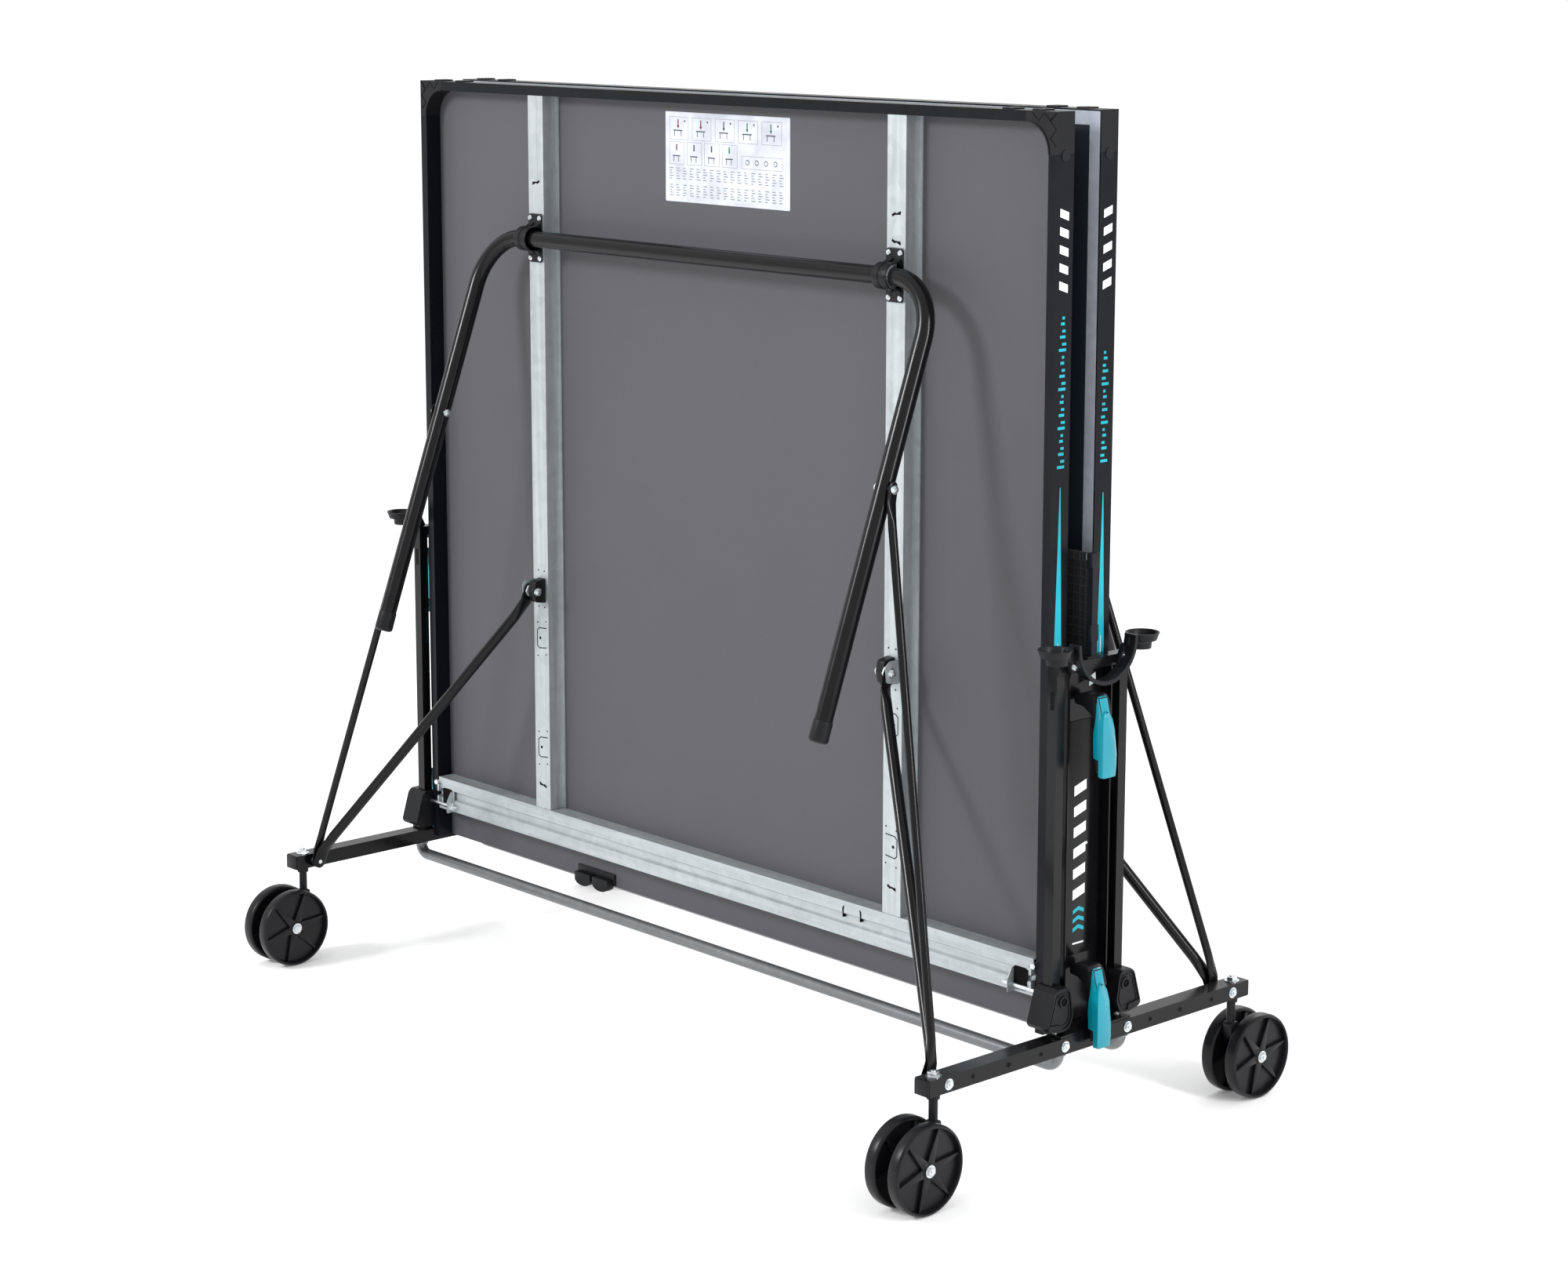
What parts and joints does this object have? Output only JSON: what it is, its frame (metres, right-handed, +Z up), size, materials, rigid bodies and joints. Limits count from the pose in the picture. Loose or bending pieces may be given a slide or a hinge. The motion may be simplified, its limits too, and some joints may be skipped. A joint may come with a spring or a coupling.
{
  "type": "folding table tennis table",
  "caption": "Folding table tennis table stored upright: halves, folding legs, struts, uprights, net, casters, release grips and ball holders.",
  "frame": {"origin": "on the floor under the middle of the stored table", "axes": "+X along the net, +Y along the length of play, +Z up; rest pose is the stored pose with both halves upright"},
  "size_m": [1.676, 0.872, 1.555],
  "materials": {
    "black_steel": "gloss",
    "satin_steel": "satin",
    "zinc": "galvanised",
    "grey_tube": "satin",
    "board": "matte",
    "black_plastic": "matte",
    "teal_plastic": "satin",
    "net_mesh": "matte",
    "tyre": "matte"
  },
  "bodies": {
    "chassis": {"base_beam_left": "black_steel", "upright_left": "black_steel", "ball_holder_left": "black_plastic", "net_post_left": "black_steel", "base_beam_right": "black_steel", "upright_right": "black_steel", "ball_holder_right": "black_plastic", "net_post_right": "black_steel", "tie_tube_front": "grey_tube", "tie_tube_rear": "grey_tube", "net": "net_mesh"},
    "front_slider": {"front_shoe_left": "black_plastic", "front_shoe_right": "black_plastic"},
    "front_half": {"front_board": "board", "front_apron_left": "satin_steel", "front_apron_right": "satin_steel", "front_apron_end": "satin_steel", "front_corner_left": "black_plastic", "front_corner_right": "black_plastic", "front_rib_left": "zinc", "front_rib_right": "zinc", "front_cross_rail": "zinc"},
    "front_leg": {"front_folding_leg": "black_steel"},
    "front_struts": {"front_support_strut_left": "black_steel", "front_support_strut_right": "black_steel"},
    "front_links": {"front_leg_link_left": "black_steel", "front_leg_link_right": "black_steel"},
    "rear_slider": {"rear_shoe_left": "black_plastic", "rear_shoe_right": "black_plastic"},
    "rear_half": {"rear_board": "board", "rear_apron_left": "satin_steel", "rear_apron_right": "satin_steel", "rear_apron_end": "satin_steel", "rear_corner_left": "black_plastic", "rear_corner_right": "black_plastic", "rear_rib_left": "zinc", "rear_rib_right": "zinc", "rear_cross_rail": "zinc"},
    "rear_leg": {"rear_folding_leg": "black_steel"},
    "rear_struts": {"rear_support_strut_left": "black_steel", "rear_support_strut_right": "black_steel"},
    "rear_links": {"rear_leg_link_left": "black_steel", "rear_leg_link_right": "black_steel"},
    "caster_front_left": {"caster_fork_front_left": "black_plastic"},
    "wheel_inner_front_left": {"wheel_inner_front_left": "tyre"},
    "wheel_outer_front_left": {"wheel_outer_front_left": "tyre"},
    "caster_front_right": {"caster_fork_front_right": "black_plastic"},
    "wheel_inner_front_right": {"wheel_inner_front_right": "tyre"},
    "wheel_outer_front_right": {"wheel_outer_front_right": "tyre"},
    "caster_rear_left": {"caster_fork_rear_left": "black_plastic"},
    "wheel_inner_rear_left": {"wheel_inner_rear_left": "tyre"},
    "wheel_outer_rear_left": {"wheel_outer_rear_left": "tyre"},
    "caster_rear_right": {"caster_fork_rear_right": "black_plastic"},
    "wheel_inner_rear_right": {"wheel_inner_rear_right": "tyre"},
    "wheel_outer_rear_right": {"wheel_outer_rear_right": "tyre"},
    "grip_low_left": {"release_grip_low_left": "teal_plastic"},
    "grip_low_right": {"release_grip_low_right": "teal_plastic"},
    "grip_high_left": {"release_grip_high_left": "teal_plastic"},
    "grip_high_right": {"release_grip_high_right": "teal_plastic"}
  },
  "joints": [
    {"name": "front_slide", "type": "slide", "parent": "chassis", "child": "front_slider", "axis": [0, 0, 1], "range_m": [0, 0.4687]},
    {"name": "front_tilt", "type": "hinge", "parent": "front_slider", "child": "front_half", "pos_m": [0, -0.0685, 0.251], "axis": [1, 0, 0], "range_deg": [0, 90]},
    {"name": "front_leg_swing", "type": "hinge", "parent": "front_half", "child": "front_leg", "pos_m": [0, -0.0825, 1.299], "axis": [-1, 0, 0], "range_deg": [0, 70.02]},
    {"name": "front_strut_swing", "type": "hinge", "parent": "front_half", "child": "front_struts", "pos_m": [0, -0.0825, 0.68979], "axis": [-1, 0, 0], "range_deg": [0, 45.32]},
    {"name": "front_link_swing", "type": "hinge", "parent": "front_leg", "child": "front_links", "pos_m": [0, -0.19111, 1.00059], "axis": [1, 0, 0], "range_deg": [0, 64.09]},
    {"name": "rear_slide", "type": "slide", "parent": "chassis", "child": "rear_slider", "axis": [0, 0, 1], "range_m": [0, 0.4687]},
    {"name": "rear_tilt", "type": "hinge", "parent": "rear_slider", "child": "rear_half", "pos_m": [0, 0.0685, 0.251], "axis": [-1, 0, 0], "range_deg": [0, 90]},
    {"name": "rear_leg_swing", "type": "hinge", "parent": "rear_half", "child": "rear_leg", "pos_m": [0, 0.0825, 1.299], "axis": [1, 0, 0], "range_deg": [0, 70.02]},
    {"name": "rear_strut_swing", "type": "hinge", "parent": "rear_half", "child": "rear_struts", "pos_m": [0, 0.0825, 0.68979], "axis": [1, 0, 0], "range_deg": [0, 45.32]},
    {"name": "rear_link_swing", "type": "hinge", "parent": "rear_leg", "child": "rear_links", "pos_m": [0, 0.19111, 1.00059], "axis": [-1, 0, 0], "range_deg": [0, 64.09]},
    {"name": "swivel_front_left", "type": "hinge", "parent": "chassis", "child": "caster_front_left", "pos_m": [-0.797, -0.33, 0.168], "axis": [0, 0, 1], "continuous": true},
    {"name": "roll_inner_front_left", "type": "hinge", "parent": "caster_front_left", "child": "wheel_inner_front_left", "pos_m": [-0.7735, -0.368, 0.068], "axis": [1, 0, 0], "continuous": true},
    {"name": "roll_outer_front_left", "type": "hinge", "parent": "caster_front_left", "child": "wheel_outer_front_left", "pos_m": [-0.8205, -0.368, 0.068], "axis": [1, 0, 0], "continuous": true},
    {"name": "swivel_front_right", "type": "hinge", "parent": "chassis", "child": "caster_front_right", "pos_m": [0.797, -0.33, 0.168], "axis": [0, 0, 1], "continuous": true},
    {"name": "roll_inner_front_right", "type": "hinge", "parent": "caster_front_right", "child": "wheel_inner_front_right", "pos_m": [0.7735, -0.368, 0.068], "axis": [1, 0, 0], "continuous": true},
    {"name": "roll_outer_front_right", "type": "hinge", "parent": "caster_front_right", "child": "wheel_outer_front_right", "pos_m": [0.8205, -0.368, 0.068], "axis": [1, 0, 0], "continuous": true},
    {"name": "swivel_rear_left", "type": "hinge", "parent": "chassis", "child": "caster_rear_left", "pos_m": [-0.797, 0.33, 0.168], "axis": [0, 0, 1], "continuous": true},
    {"name": "roll_inner_rear_left", "type": "hinge", "parent": "caster_rear_left", "child": "wheel_inner_rear_left", "pos_m": [-0.7735, 0.368, 0.068], "axis": [1, 0, 0], "continuous": true},
    {"name": "roll_outer_rear_left", "type": "hinge", "parent": "caster_rear_left", "child": "wheel_outer_rear_left", "pos_m": [-0.8205, 0.368, 0.068], "axis": [1, 0, 0], "continuous": true},
    {"name": "swivel_rear_right", "type": "hinge", "parent": "chassis", "child": "caster_rear_right", "pos_m": [0.797, 0.33, 0.168], "axis": [0, 0, 1], "continuous": true},
    {"name": "roll_inner_rear_right", "type": "hinge", "parent": "caster_rear_right", "child": "wheel_inner_rear_right", "pos_m": [0.7735, 0.368, 0.068], "axis": [1, 0, 0], "continuous": true},
    {"name": "roll_outer_rear_right", "type": "hinge", "parent": "caster_rear_right", "child": "wheel_outer_rear_right", "pos_m": [0.8205, 0.368, 0.068], "axis": [1, 0, 0], "continuous": true},
    {"name": "release_low_left", "type": "hinge", "parent": "chassis", "child": "grip_low_left", "pos_m": [-0.784, 0, 0.284], "axis": [0, 1, 0], "range_deg": [0, 18], "stiffness_Nm_per_rad": 1.2, "springref_deg": -2.86},
    {"name": "release_low_right", "type": "hinge", "parent": "chassis", "child": "grip_low_right", "pos_m": [0.784, 0, 0.284], "axis": [0, -1, 0], "range_deg": [0, 18], "stiffness_Nm_per_rad": 1.2, "springref_deg": -2.86},
    {"name": "release_high_left", "type": "hinge", "parent": "chassis", "child": "grip_high_left", "pos_m": [-0.784, 0, 0.698], "axis": [0, 1, 0], "range_deg": [0, 18], "stiffness_Nm_per_rad": 1.2, "springref_deg": -2.86},
    {"name": "release_high_right", "type": "hinge", "parent": "chassis", "child": "grip_high_right", "pos_m": [0.784, 0, 0.698], "axis": [0, -1, 0], "range_deg": [0, 18], "stiffness_Nm_per_rad": 1.2, "springref_deg": -2.86}
  ],
  "couplings": [
    {"joint": "front_slide", "follows": "front_tilt", "m_per_rad": 0.29826},
    {"joint": "front_leg_swing", "follows": "front_tilt", "ratio": 0.77778},
    {"joint": "front_strut_swing", "follows": "front_tilt", "ratio": 0.50338},
    {"joint": "front_link_swing", "follows": "front_tilt", "ratio": 0.71186},
    {"joint": "rear_slide", "follows": "rear_tilt", "m_per_rad": 0.29826},
    {"joint": "rear_leg_swing", "follows": "rear_tilt", "ratio": 0.77778},
    {"joint": "rear_strut_swing", "follows": "rear_tilt", "ratio": 0.50338},
    {"joint": "rear_link_swing", "follows": "rear_tilt", "ratio": 0.71186}
  ]
}
